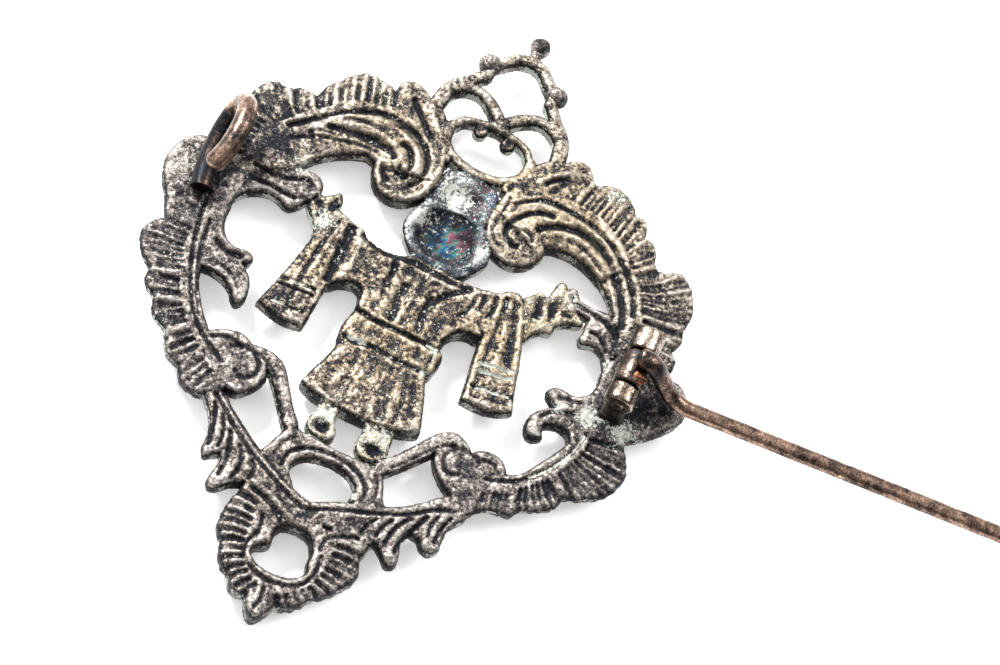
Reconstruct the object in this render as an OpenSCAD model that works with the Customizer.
// Openwork hat pin: a cast heart-shaped frame of scrolls and shells under a crown, a robed figure
// with spread arms in its middle, and a hinged pin with a wire catch on its back.
// X runs across the brooch, Y towards the crown, Z out of the back, with Z = 0 at the back plane.
// The origin lies on the long axis at the height of the arms. The pin is drawn open.

/* [Casting] */
// Thickness of the frame's scrolls and shells
frame_t = 1.9; // [1.6:0.1:2.2]
// How far the upper volutes stand above the back plane
volute_rise = 0.5; // [0.3:0.1:0.8]
// Distance from the back plane to the front of the figure
figure_depth = 2.8; // [2.6:0.1:3.2]
// Diameter of the two beads at the crown's shoulders
bead_d = 1.9; // [1.6:0.1:2]

/* [Hinge] */
// Diameter of the three knuckles
knuckle_d = 2.7; // [2.6:0.1:2.8]
// Height of the hinge's axis above the back plane
axis_h = 3.3; // [3.3:0.1:3.5]
// Diameter of the rivet through the knuckles
rivet_d = 1.2; // [1:0.1:1.3]
// Radial running clearance of the turning knuckle on the rivet
rivet_gap = 0.04; // [0.03:0.01:0.08]

/* [Pin] */
// Diameter of the pin wire
wire_d = 1.4; // [1.2:0.1:1.4]
// Reach of the pin from the hinge's axis to its tip
pin_reach = 43; // [42:0.5:45]
// Angle at which the open pin rises from the back plane
open_rise = 10; // [9:1:11]
// Length of the ground point
point_l = 4; // [3:0.5:6]

/* [Catch] */
// Diameter of the catch wire
hook_d = 1.7; // [1.4:0.1:1.7]

/* [Hidden] */
$fn = 48;
tiny = 0.001;          // growth that makes soldered neighbours meet without a gap
curve_steps = 4;       // straight pieces between two control points of a smooth outline
silver = "#b8ab96";
dark_silver = "#6f665c";
gilt = "#a58c62";
residue = "#d9d8c0";
bronze = "#8a6846";
copper = "#b0643c";

// Where the hinge stands, and where its pieces begin and end along its axis
axis_x = 19.1;
lower_y0 = -2.0;
lower_y1 = -0.2;
middle_y0 = -0.1;
middle_y1 = 3.1;
upper_y0 = 3.2;
upper_y1 = 5.4;
stem_y = 1.5;
plate_t = 0.3;
lug_w = 2.0;

// The pin's bends, in its own plane: start height over the axis, radii, turns and straight run
stem_lift = 1.95;
first_r = 2.0;
first_turn = 50;
run_l = 2.8;
second_r = 2.6;
bend_full = 0.04;
run_in = 0.2;
end_in = 0.05;
solder_d = 1.1;
solder_at = [0.6, -0.85, 1];
second_turn = first_turn + open_rise;
run_start = [first_r * sin(first_turn), stem_lift - first_r * (1 - cos(first_turn))];
run_end = run_start + run_l * [cos(first_turn), -sin(first_turn)];
second_c = run_end + second_r * [sin(first_turn), cos(first_turn)];
straight_start = second_c + second_r * [sin(open_rise), -cos(open_rise)];
straight_l = (pin_reach - straight_start.x) / cos(open_rise);

// The catch's centre line [x, y, z, share of its diameter], from its cut end round to its free end
hook_sides = 16;
hook_line = [[-19.95, 0.3, 0.8, 1], [-20.35, 2.2, 0.9, 1], [-20.55, 4.2, 1.2, 1], [-20.5, 6, 1.9, 1],
    [-20.2, 7.3, 2.9, 1], [-19.75, 7.6, 3.9, 1], [-19.3, 6.9, 4.7, 1], [-19, 5.5, 5.15, 1],
    [-18.95, 3.9, 5.25, 1], [-19.1, 2.5, 5, 1], [-19.5, 1.2, 4.5, 1], [-19.7, 0.6, 4.2, 0.6]];

// A smooth curve through control points. A repeated point makes a sharp corner.
function curve(a, b, c, d, t) = 0.5 * (2 * b + (c - a) * t + (2 * a - 5 * b + 4 * c - d) * t * t
    + (3 * b - a - 3 * c + d) * t * t * t);
function smooth_loop(p) = let (n = len(p)) [
    for (i = [0 : n - 1])
        if (norm(p[(i + 1) % n] - p[i]) > tiny)
            for (k = [0 : curve_steps - 1])
                curve(p[(i + n - 1) % n], p[i], p[(i + 1) % n], p[(i + 2) % n], k / curve_steps)];
function smooth_line(p) = let (last = len(p) - 1) concat([
    for (i = [0 : last - 1])
        for (k = [0 : curve_steps - 1])
            curve(p[max(i - 1, 0)], p[i], p[i + 1], p[min(i + 2, last)], k / curve_steps)], [p[last]]);

// A strand through points [x, y, width], and where its left (s = 1) or right (s = -1) edge runs
function edge(q, i, s) = let (a = q[max(i - 1, 0)], b = q[min(i + 1, len(q) - 1)],
    d = [b.x - a.x, b.y - a.y], n = [-d.y, d.x] / norm(d)) [q[i].x, q[i].y] + s * q[i].z / 2 * n;
module strand(p) {
    q = smooth_line(p);
    last = len(q) - 1;
    polygon(concat([for (i = [0 : last]) edge(q, i, 1)], [for (i = [last : -1 : 0]) edge(q, i, -1)]));
    for (e = [q[0], q[last]]) translate([e.x, e.y]) circle(d = e.z);
}

// A flat casting section between two heights: its first 2D child, cut back where the neighbours
// that are its other children lie
module slab(z0, z1) {
    translate([0, 0, z0]) linear_extrude(z1 - z0) offset(delta = tiny) difference() {
        children(0);
        if ($children > 1) for (i = [1 : $children - 1]) offset(delta = tiny) children(i);
    }
}

// ---- Outlines of the frame. Left and right differ a little, as a hand-finished casting does ----
upper_left = [[-2.8, 13.3], [-2.8, 13.3], [-3.4, 14.2], [-4.2, 15.4], [-5.2, 16.8], [-6.3, 18.1],
    [-6.3, 18.1], [-6.9, 18.5], [-7.8, 18.9], [-8.7, 18.7], [-9.3, 18], [-9.4, 17.5], [-9.4, 17.5],
    [-10.3, 17.8], [-11.4, 17.9], [-12.6, 17.5], [-13.5, 16.7], [-14, 15.8], [-14, 15.8],
    [-14.7, 15.1], [-15.2, 13.8], [-15.2, 13.8], [-16, 13.8], [-16.8, 13.7], [-17.6, 13.1],
    [-17.6, 13.1], [-18.5, 13.3], [-19.3, 12.9], [-19.9, 12], [-20.2, 10.8], [-20.1, 10.1],
    [-20.1, 10.1], [-20.9, 9.3], [-21.3, 8], [-21.3, 6.6], [-21.2, 5.5], [-21.3, 3.7], [-21.3, 3.7],
    [-17.2, 3.7], [-17.2, 3.7], [-16.4, 4.6], [-14.9, 5.6], [-13.7, 6.5], [-12.6, 7.9], [-11.2, 9.2],
    [-9.7, 10.1], [-8.8, 10.4], [-8.1, 10.2], [-8.1, 10.2], [-7.9, 9.3], [-7.3, 8.3], [-6.4, 7.7],
    [-5.4, 7.6], [-4.3, 8], [-3.3, 8.8], [-2.7, 10], [-2.5, 11.2], [-2.6, 12.3]];
upper_right = [[3, 13.3], [3, 13.3], [3.5, 14.2], [4.3, 15.4], [5.3, 16.9], [6.3, 18.2], [6.3, 18.2],
    [7, 18.8], [7.7, 19.1], [8.6, 18.8], [9.2, 18.1], [9.2, 18.1], [9.5, 17.8], [10.2, 18.2],
    [11.2, 18.5], [12.4, 18.3], [13.4, 17.6], [13.9, 16.8], [13.9, 16.8], [14.6, 16.8],
    [15.2, 16.1], [15.4, 15.2], [15.4, 15.2], [16.1, 15.1], [16.7, 14.4], [17.2, 13.1], [17.2, 13.1],
    [18.1, 13.2], [19, 13.7], [20, 13.5], [21, 12.6], [21.6, 11.3], [21.8, 10], [21.5, 8.9],
    [21.5, 8.9], [21.9, 8.1], [21.8, 7.3], [21.5, 6.7], [21.5, 6.7], [22.1, 6], [22.2, 4.9],
    [21.9, 3.7], [21.9, 3.7], [17.3, 3.7], [17.3, 3.7], [17, 5], [16.2, 6.5], [15, 8], [13.6, 9.3],
    [12, 10.1], [10.4, 10.4], [9, 10.3], [8.1, 9.9], [8.1, 9.9], [8.1, 9], [7.6, 8], [6.8, 7.3],
    [5.7, 7], [4.5, 7.3], [3.5, 8], [2.8, 9.2], [2.6, 10.6], [2.8, 12.2]];
// The band and volute that stand proud of each upper scroll
volute_left = [[-5.6, 10.1, 4.2], [-5.8, 10.4, 4.3], [-7.2, 12.2, 3], [-9.4, 12.6, 3], [-11.6, 11.4, 2.6]];
volute_right = [[5.5, 9.8, 4.6], [6.1, 11, 4.2], [7.4, 12.1, 3.2], [9.4, 12.4, 3], [11.8, 11.8, 2.6]];

side_left = [[-17.2, 3.7], [-17.2, 3.7], [-21.3, 3.7], [-21.3, 3.7], [-21.3, 1], [-21.5, -1.5],
    [-21.4, -2.9], [-21.4, -2.9], [-22.2, -3.6], [-22.7, -4.8], [-22.3, -6.1], [-21.5, -7.1],
    [-20.6, -7.8], [-20.6, -7.8], [-20.6, -8.6], [-20, -9.4], [-19.1, -10], [-19.1, -10],
    [-18.9, -10.9], [-18.1, -11.7], [-17, -12.1], [-17, -12.1], [-16.6, -13.2], [-16, -14],
    [-15.2, -14.4], [-14.6, -14.4], [-14.6, -14.4], [-14.3, -15.3], [-13.5, -15.9], [-12.5, -16.1],
    [-11.5, -15.8], [-11.5, -15.8], [-10.9, -15.2], [-10.4, -14.7], [-10.4, -14.7], [-9.4, -14.6],
    [-8.6, -13.9], [-8, -13], [-7.8, -12], [-8.4, -11], [-9.6, -10.1], [-10.2, -9.9], [-10.2, -9.9],
    [-10.9, -9.6], [-12, -9.6], [-13, -10], [-13.8, -10.5], [-13.8, -10.5], [-14.8, -9.4],
    [-15.7, -8.2], [-16.5, -6.8], [-16.8, -5.7], [-16.8, -5.7], [-15.9, -5.6], [-14.8, -5.8],
    [-13.9, -6.3], [-13.3, -7.1], [-12.8, -7.3], [-12.4, -6.7], [-12.5, -5.6], [-13, -4.5],
    [-13.9, -3.8], [-13.9, -3.8], [-13.4, -3.4], [-13.4, -2.8], [-14, -2.5], [-15.2, -2.7],
    [-16.2, -2.2], [-16.9, -1], [-17.1, 1], [-17, 2.4]];
side_right = [[17.3, 3.7], [17.3, 3.7], [21.9, 3.7], [21.9, 3.7], [21.4, 1.5], [21.2, -1], [21, -2.9],
    [21, -2.9], [21.8, -4.1], [22.4, -5.5], [22.2, -7], [21.4, -8.3], [20, -9.3], [18.4, -9.9],
    [18.4, -9.9], [18.4, -10.7], [17.8, -11.5], [16.6, -12.2], [15.6, -12.8], [15.2, -13.4],
    [15.2, -13.4], [14.4, -13.7], [13.2, -14], [12.3, -14.8], [11.8, -15.6], [11.8, -15.6],
    [10.8, -15], [9.8, -14.2], [9.8, -14.2], [9, -13.7], [8, -12.8], [7.4, -11.8], [7.6, -10.8],
    [8.6, -10.1], [9.8, -10], [10.1, -9.9], [10.1, -9.9], [10.8, -9.4], [11.9, -9.2], [12.9, -9.6],
    [13.4, -10.3], [13.4, -10.3], [14.3, -9.9], [15.2, -8.6], [16.1, -7], [16.9, -5.4], [16.9, -5.4],
    [16.5, -4.6], [15.5, -4.4], [14.6, -4.8], [14.5, -5.4], [14.7, -6], [14, -6.4], [13.3, -6.1],
    [13, -5.2], [13.2, -4.3], [13.8, -3.5], [14.7, -2.9], [14.7, -2.9], [14, -2.5], [13.5, -2],
    [13.6, -1.5], [14.4, -1.1], [15.6, -1.2], [16.6, -0.6], [17, 0.4], [16.9, 2]];

shell_left = [[-21.2, 5.5], [-22.2, 5.2], [-23.1, 4.4], [-23.7, 3], [-23.7, 1.5], [-23.1, 0.1],
    [-22.3, -1.1], [-21.8, -2.3], [-21.4, -2.9], [-21.4, -2.9], [-20.6, -1], [-20.6, 4]];
shell_right = [[21.9, 3.9], [22.6, 4.1], [23.5, 3.9], [24.3, 3.1], [24.7, 1.7], [24.3, 0.4],
    [23.4, -0.8], [22.2, -2], [21, -2.9], [21, -2.9], [20.4, -1], [20.8, 2.6]];

leaf_left = [[-17.8, 5.2], [-16.8, 5.8], [-14.5, 6.4], [-12.8, 6.8], [-11.6, 6.7], [-11, 6], [-11, 5.1],
    [-11.5, 4.2], [-12, 3.4], [-12.8, 2.8], [-13.8, 3.1], [-14.6, 3.2], [-15.6, 2.9], [-16.5, 2.3],
    [-17.4, 1], [-17.9, 2]];
leaf_right = [[17.6, 6.4], [15.8, 7.1], [14, 7.1], [12.7, 7.2], [12, 7.9], [11.4, 7.7], [11.4, 7.1],
    [11.9, 6.4], [12.8, 6], [14, 5.9], [14, 5.9], [13.9, 5.2], [14, 4.5], [13.9, 3.9], [14.3, 3.5],
    [15.2, 3.8], [16.1, 3.6], [16.8, 2.6], [17.2, 1.5], [17.6, 2.4]];

claw_left = [[-11.6, -15.2], [-10.2, -14.9], [-9.2, -15.7], [-8, -16.5], [-6.5, -17.5], [-5, -18.3],
    [-3.2, -19.1], [-1.5, -19.9], [0, -20.3], [0, -20.3], [0, -22.3], [0, -22.3], [-1.6, -21.8],
    [-3.4, -21.2], [-5.2, -21.1], [-5.6, -21.5], [-6.3, -21.9], [-7, -22.6], [-7.7, -23], [-8.2, -22.6],
    [-8.1, -21.4], [-8, -20.4], [-8.3, -20], [-8.3, -20], [-8.9, -20.4], [-9.4, -20.7], [-9.8, -20],
    [-9.9, -18.8], [-10.2, -17.8], [-10.8, -16.8], [-11.6, -15.9]];
claw_right = [[11.8, -15.1], [10.4, -14.3], [9.4, -14.8], [8.2, -16], [6.8, -17.1], [5.2, -17.9],
    [3.5, -18.5], [1.8, -19.3], [0, -20.3], [0, -20.3], [0, -22.3], [0, -22.3], [2, -21.8],
    [4, -21.5], [5.8, -21.5], [6.3, -21.1], [7, -21.6], [7.8, -22.3], [8.5, -22], [8.4, -21],
    [8.1, -19.9], [8.4, -19], [8.4, -19], [9.2, -19], [9.8, -19.6], [10.6, -19.7], [11.1, -19.1],
    [11, -18], [11.1, -16.9], [11.9, -15.7]];

base_outline = [[-5, -20.6], [-5.5, -21.9], [-5.9, -23.3], [-6, -24.7], [-5.7, -25.8], [-5, -26.6],
    [-5, -26.6], [-4.7, -27.6], [-4, -28.5], [-3.1, -29], [-3.1, -29], [-2.6, -29.9], [-1.7, -30.1],
    [-1.2, -29.9], [-1.2, -29.9], [-0.8, -30.8], [-0.2, -31.4], [0.4, -31.3], [0.9, -30.5],
    [1.3, -29.7], [1.3, -29.7], [2.2, -29.4], [3.2, -28.5], [3.9, -27.4], [3.9, -27.4], [4.9, -26.6],
    [5.7, -25.5], [6.2, -24.4], [6.1, -23.6], [5.8, -22.8], [5.9, -21.8], [5.4, -20.6], [0, -20.3]];
base_hole = [[-0.9, -23.1], [0.3, -22.8], [1.4, -23.1], [2, -24.2], [2.1, -25.2], [2.3, -26.1],
    [1.5, -26.9], [0.2, -27.3], [-1.3, -27.2], [-2.4, -26.5], [-2.2, -25.7], [-1.3, -25.1],
    [-1.4, -24]];

pedestal_outline = [[-4.3, -14.8], [-4.3, -14.8], [-2, -15], [0, -15.1], [2.2, -15], [4.2, -14.9],
    [4.2, -14.9], [4.7, -15.9], [5.1, -17], [5.6, -18.2], [3, -19.8], [0, -21.2], [-3, -20.2],
    [-5.4, -18.7], [-5, -17], [-4.6, -15.8]];
pedestal_hole = [[-2.4, -18.9], [-2.5, -17.7], [-1.6, -16.8], [0.2, -16.4], [1.9, -16.7],
    [2.8, -17.6], [2.8, -19], [2.8, -19], [0, -21.4], [0, -21.4]];
bracket_left = [[-10.4, -10.6, 1], [-8.8, -10.4, 1.4], [-7.4, -10.9, 1.5], [-6.3, -12.2, 1.3],
    [-5.2, -13.7, 1.2], [-4.2, -14.9, 1.3]];
bracket_right = [[9.9, -10.4, 1], [8.5, -9.7, 1.5], [7.3, -10.4, 1.5], [6.2, -12, 1.4], [5, -13.6, 1.3],
    [4, -14.8, 1.3]];

// ---- Outlines of the figure ----
robe_outline = [[-6.6, 4], [-5.5, 3.5], [-4, 3.2], [-2.6, 3.4], [-1.6, 3.8], [0, 3.7], [2.5, 3.7], [4.2, 3.8],
    [5.2, 4], [6.4, 4.3], [6.4, 4.3], [6.7, 2], [6.5, -0.4], [6.5, -0.4], [5.4, -0.3], [4.5, -0.8],
    [4, -1.6], [3.8, -2.8], [3.8, -2.8], [4.4, -3.4], [4.3, -4.6], [4.1, -5.3], [3.7, -5.4],
    [3.7, -5.4], [4.4, -7], [5.1, -9], [5.5, -10.4], [5.5, -10.4], [4.6, -10.9], [2.6, -11.5],
    [0, -11.7], [-2.6, -11.6], [-4.3, -11.3], [-5.1, -10.9], [-5.1, -10.9], [-4.8, -9.7],
    [-4.3, -8.2], [-3.9, -6.5], [-4.1, -5.7], [-4.1, -5.7], [-4.2, -4.6], [-3.9, -3], [-3.9, -3],
    [-4, -1.8], [-4.3, -1], [-5, -0.8], [-6, -1.2], [-6.9, -2.1], [-6.9, -2.1], [-7, 1]];
sleeve_left_outline = [[-9.6, 4.4], [-9, 4.7], [-8, 4.4], [-6.6, 4], [-6.6, 4], [-6.8, 1], [-6.9, -2.1],
    [-7, -4.2], [-7.1, -6.5], [-7.1, -6.5], [-8.6, -6.8], [-10.1, -6.6], [-11.4, -6.2], [-11.4, -6.2],
    [-10.8, -3.8], [-10.3, -1.5], [-9.9, 0.8], [-9.6, 2.6]];
sleeve_right_outline = [[6.4, 4.3], [6.4, 4.3], [7, 4.9], [8, 5], [8.4, 4.5], [9.2, 2.3], [10, 0.5],
    [10.5, -1.2], [11, -3.2], [11.6, -5.1], [11.6, -5.1], [10.6, -5.7], [9.2, -6.1], [7.3, -6.1],
    [7.3, -6.1], [7, -3.8], [6.6, -1], [6.6, 2]];
head_outline = [[-2.2, 12.9], [0, 13.1], [2.3, 12.9], [2.9, 11], [3.2, 9], [4.1, 7.3], [4.1, 5.9],
    [3.2, 4.5], [2.5, 3.7], [2.5, 3.7], [0, 3.6], [-1.6, 3.8], [-1.6, 3.8], [-2.8, 4.9], [-3.6, 6.3],
    [-3.4, 7.8], [-2.9, 9.4], [-2.4, 11.2]];
head_hollow = [[-1.6, 11.9], [0, 12.1], [1.7, 11.9], [2.1, 10], [2.5, 8.3], [3.1, 6.9], [2.8, 5.6],
    [1.8, 4.8], [0, 4.6], [-1.6, 4.9], [-2.7, 6.2], [-2.4, 8], [-1.9, 10]];
arm_left = [[-9.2, 4.4], [-8.9, 5.3], [-9.3, 6.3], [-9.9, 5.9], [-10.5, 5.4], [-11.2, 5.3], [-11.7, 4.4],
    [-11.3, 3.7], [-10.7, 3], [-10.1, 2.2], [-9.8, 1.2], [-8.6, 1]];
arm_right = [[8.2, 4.6], [8.8, 5.6], [9.4, 6.3], [10, 6.1], [10.2, 6.8], [10.5, 7.9], [11.1, 7.9],
    [11.5, 7.1], [12.3, 6.3], [13.5, 5.7], [13.6, 5], [12.6, 4.6], [11.8, 4], [11.6, 3.1], [10.9, 2.9],
    [10.3, 2.3], [9.8, 1.3], [8.6, 1.2]];
foot_left = [[-2.9, -11], [-2.9, -12.3], [-3.2, -13.4], [-3, -14.4], [-1.9, -14.8], [-0.8, -14.6],
    [-0.7, -13.6], [-1.2, -12.8], [-1.2, -11]];
foot_right = [[1.3, -11], [1.3, -12.6], [1.2, -13.6], [1.6, -14.5], [2.8, -14.7], [4, -14], [3.8, -12.8],
    [3.4, -11]];

// ---- Frame sections ----
module shape(outline) {
    polygon(smooth_loop(outline));
}
module crown_2d() {
    difference() {
        for (s = [-1, 1]) scale([s, 1]) {
            strand([[0, 25.7, 1.1], [1.1, 25.4, 1.1], [2, 24.6, 1.1], [2.8, 23.7, 1], [3, 22.6, 1]]);
            strand([[3, 22.8, 1], [4, 21.5, 1.1], [5.1, 20.2, 1.3], [5.6, 18.8, 1.4], [5.7, 17.4, 1.2]]);
            strand([[0, 18.8, 1.1], [1.1, 19.9, 1.1], [2.2, 20.6, 1], [3.3, 20.8, 1], [4.4, 20.4, 1],
                [5.2, 19.6, 0.9]]);
            strand([[0, 18.5, 1.2], [1, 18.2, 0.8], [2.1, 18, 0.7], [3, 17.6, 0.7], [3.6, 16.8, 0.7],
                [4.6, 16.4, 0.7]]);
            strand([[3.7, 16.8, 0.8], [3.8, 15.8, 1], [3.4, 14.8, 0.9], [2.4, 14, 0.9], [1.2, 13.6, 0.9],
                [0, 13.5, 0.9]]);
            strand([[6, 18, 0.8], [5.2, 16.8, 1.6], [4.3, 15.5, 1.6], [3.4, 14.2, 1.2], [2.8, 13.4, 0.8]]);
        }
        shape(upper_left);
        shape(upper_right);
    }
}
module crown() {
    color(silver) {
        slab(-frame_t, 0) crown_2d();
        slab(-frame_t, -0.4) difference() {
            for (s = [-1, 1]) translate([1.3 * s, 17.5]) circle(d = 1.2);
            crown_2d();
        }
        translate([0, 26, -frame_t / 2]) rotate([-90, 0, 0]) cylinder(d = 0.9, h = 1.2);
    }
}
module crown_beads() {
    color(dark_silver) {
        for (s = [-1, 1]) translate([3.15 * s, 23.8, -frame_t / 2]) sphere(d = bead_d);
        translate([0, 27.7, -frame_t / 2]) sphere(d = 1.7);
    }
}
module upper_scroll(outline, volute) {
    color(silver) {
        slab(-frame_t, 0) shape(outline);
        slab(-frame_t / 2, volute_rise) intersection() {
            offset(delta = -0.2) shape(outline);
            strand(volute);
        }
    }
}
module upper_scroll_left() upper_scroll(upper_left, volute_left);
module upper_scroll_right() upper_scroll(upper_right, volute_right);
module side_scroll_left() color(dark_silver) slab(-frame_t, 0) shape(side_left);
module side_scroll_right() color(dark_silver) slab(-frame_t, 0) shape(side_right);
module side_shell_left() {
    color(dark_silver) slab(-frame_t, 0) {
        shape(shell_left);
        shape(side_left);
        shape(upper_left);
    }
}
module side_shell_right() {
    color(dark_silver) slab(-frame_t, 0) {
        shape(shell_right);
        shape(side_right);
        shape(upper_right);
    }
}
module hand_leaf_left() {
    color(dark_silver) slab(-frame_t, -0.2) {
        shape(leaf_left);
        shape(side_left);
        shape(upper_left);
    }
}
module hand_leaf_right() {
    color(dark_silver) slab(-frame_t, -0.2) {
        shape(leaf_right);
        shape(side_right);
        shape(upper_right);
    }
}
module claw_scroll_left() {
    color(dark_silver) slab(-frame_t, 0) {
        shape(claw_left);
        shape(side_left);
    }
}
module claw_scroll_right() {
    color(dark_silver) slab(-frame_t, 0) {
        shape(claw_right);
        shape(side_right);
    }
}
module foot_bracket_left() {
    color(dark_silver) slab(-frame_t, -0.1) {
        strand(bracket_left);
        shape(side_left);
        shape(pedestal_outline);
    }
}
module foot_bracket_right() {
    color(dark_silver) slab(-frame_t, -0.1) {
        strand(bracket_right);
        shape(side_right);
        shape(pedestal_outline);
    }
}
module pedestal() {
    color(dark_silver) slab(-frame_t, -0.1) {
        shape(pedestal_outline);
        shape(pedestal_hole);
        shape(claw_left);
        shape(claw_right);
    }
}
module base_shell() {
    color(dark_silver) slab(-figure_depth, 0) {
        shape(base_outline);
        shape(base_hole);
        shape(claw_left);
        shape(claw_right);
    }
}

// ---- Figure ----
module robe() color(gilt) slab(-figure_depth, 0) shape(robe_outline);
module sleeve_left() {
    color(gilt) slab(-frame_t, 0) {
        shape(sleeve_left_outline);
        shape(robe_outline);
    }
}
module sleeve_right() {
    color(gilt) slab(-frame_t, 0) {
        shape(sleeve_right_outline);
        shape(robe_outline);
    }
}
module head_2d() {
    difference() {
        shape(head_outline);
        shape(upper_left);
        shape(upper_right);
        shape(robe_outline);
        offset(delta = tiny) crown_2d();
    }
}
module head_cup() {
    color(dark_silver) {
        slab(-figure_depth, -2) head_2d();
        slab(-2 - tiny, -0.3) difference() {
            head_2d();
            shape(head_hollow);
        }
    }
}
module forearm_left() {
    color(residue) slab(-frame_t, -0.3) {
        shape(arm_left);
        shape(sleeve_left_outline);
        shape(leaf_left);
    }
}
module forearm_right() {
    color(residue) slab(-frame_t, -0.3) {
        shape(arm_right);
        shape(sleeve_right_outline);
        shape(leaf_right);
    }
}
module shoe(outline, bracket) {
    color(residue) slab(-frame_t, -0.3) {
        shape(outline);
        shape(robe_outline);
        shape(pedestal_outline);
        strand(bracket);
    }
}
module shoe_left() shoe(foot_left, bracket_left);
module shoe_right() shoe(foot_right, bracket_right);

// ---- Hinge. Its axis runs along Y at [axis_x, axis_h] ----
module along_y(y0, y1, d) {
    translate([axis_x, y1, axis_h]) rotate([90, 0, 0]) cylinder(d = d, h = y1 - y0);
}
module outer_knuckle(y0, y1) {
    color(bronze) difference() {
        union() {
            along_y(y0, y1, knuckle_d);
            translate([axis_x - lug_w / 2, y0, plate_t]) cube([lug_w, y1 - y0, axis_h - plate_t]);
        }
        along_y(y0 - 1, y1 + 1, rivet_d);
    }
}
module hinge_plate() {
    color(bronze) translate([axis_x - lug_w / 2, lower_y0, 0])
        cube([lug_w, upper_y1 - lower_y0, plate_t]);
}
module knuckle_lower() outer_knuckle(lower_y0, lower_y1);
module knuckle_upper() outer_knuckle(upper_y0, upper_y1);
module hinge_rivet() color(bronze) along_y(lower_y0 - 0.1, upper_y1 + 0.1, rivet_d);
module pin_knuckle() {
    color(bronze) difference() {
        along_y(middle_y0, middle_y1, knuckle_d);
        along_y(middle_y0 - 1, middle_y1 + 1, rivet_d + 2 * rivet_gap);
    }
}

// ---- Pin. Drawn from its rounded end, with its own plane as XZ. The wire is a little fuller in its
// bends than in its straight runs and its rounded end, which reach into them ----
module wire_arc(centre, r, from, turn) {
    translate([centre.x, 0, centre.y]) rotate([90, 0, 0])
        rotate([0, 0, from]) rotate_extrude(angle = turn) translate([r, 0]) circle(d = wire_d + bend_full);
}
module wire_run(start, angle, l) {
    translate([start.x, 0, start.y]) rotate([0, 90 - angle, 0]) translate([0, 0, -run_in])
        cylinder(d = wire_d, h = l + run_in);
}
module pin_stem() {
    color(bronze) translate([axis_x, stem_y, axis_h]) {
        translate([end_in, 0, stem_lift]) sphere(d = wire_d);
        wire_arc([0, stem_lift - first_r], first_r, 90 - first_turn, first_turn);
        wire_run(run_start, -first_turn, run_l + run_in);
        wire_arc(second_c, second_r, 270 - first_turn, second_turn);
        wire_run(straight_start, open_rise, straight_l - point_l);
        translate([straight_start.x, 0, straight_start.y]) rotate([0, 90 - open_rise, 0])
            translate([0, 0, straight_l - point_l]) cylinder(d1 = wire_d, d2 = 0.2, h = point_l);
    }
}
// The drop of solder in the corner between the stem and the middle knuckle
module pin_solder() {
    color(copper) translate([axis_x, stem_y, axis_h] + solder_at) sphere(d = solder_d);
}

// ---- Catch: a wire bent round into a C that leans towards the middle ----
function unit(v) = v / norm(v);
function place(q) = [q.x, q.y, q.z];
function wire_ring(path, i, d, sides) = let (last = len(path) - 1,
    along = unit(place(path[min(i + 1, last)]) - place(path[max(i - 1, 0)])),
    across = unit(cross(along, [1, 0, 0])), side = cross(across, along))
    [for (k = [0 : sides - 1]) place(path[i]) + path[i][3] * d / 2
        * (cos(360 * k / sides) * side + sin(360 * k / sides) * across)];
module swept_wire(path, d, sides) {
    last = len(path) - 1;
    polyhedron(
        points = [for (i = [0 : last]) each wire_ring(path, i, d, sides)],
        faces = concat([[for (k = [0 : sides - 1]) k]],
            [for (i = [0 : last - 1]) for (k = [0 : sides - 1]) let (next = (k + 1) % sides)
                [(i + 1) * sides + k, (i + 1) * sides + next, i * sides + next, i * sides + k]],
            [[for (k = [sides - 1 : -1 : 0]) last * sides + k]]));
}
module catch_hook() color(bronze) swept_wire(smooth_line(hook_line), hook_d, hook_sides);

crown();
crown_beads();
upper_scroll_left();
upper_scroll_right();
side_scroll_left();
side_scroll_right();
side_shell_left();
side_shell_right();
hand_leaf_left();
hand_leaf_right();
claw_scroll_left();
claw_scroll_right();
foot_bracket_left();
foot_bracket_right();
pedestal();
base_shell();
robe();
sleeve_left();
sleeve_right();
head_cup();
forearm_left();
forearm_right();
shoe_left();
shoe_right();
hinge_plate();
knuckle_upper();
knuckle_lower();
hinge_rivet();
catch_hook();
pin_knuckle();
pin_stem();
pin_solder();
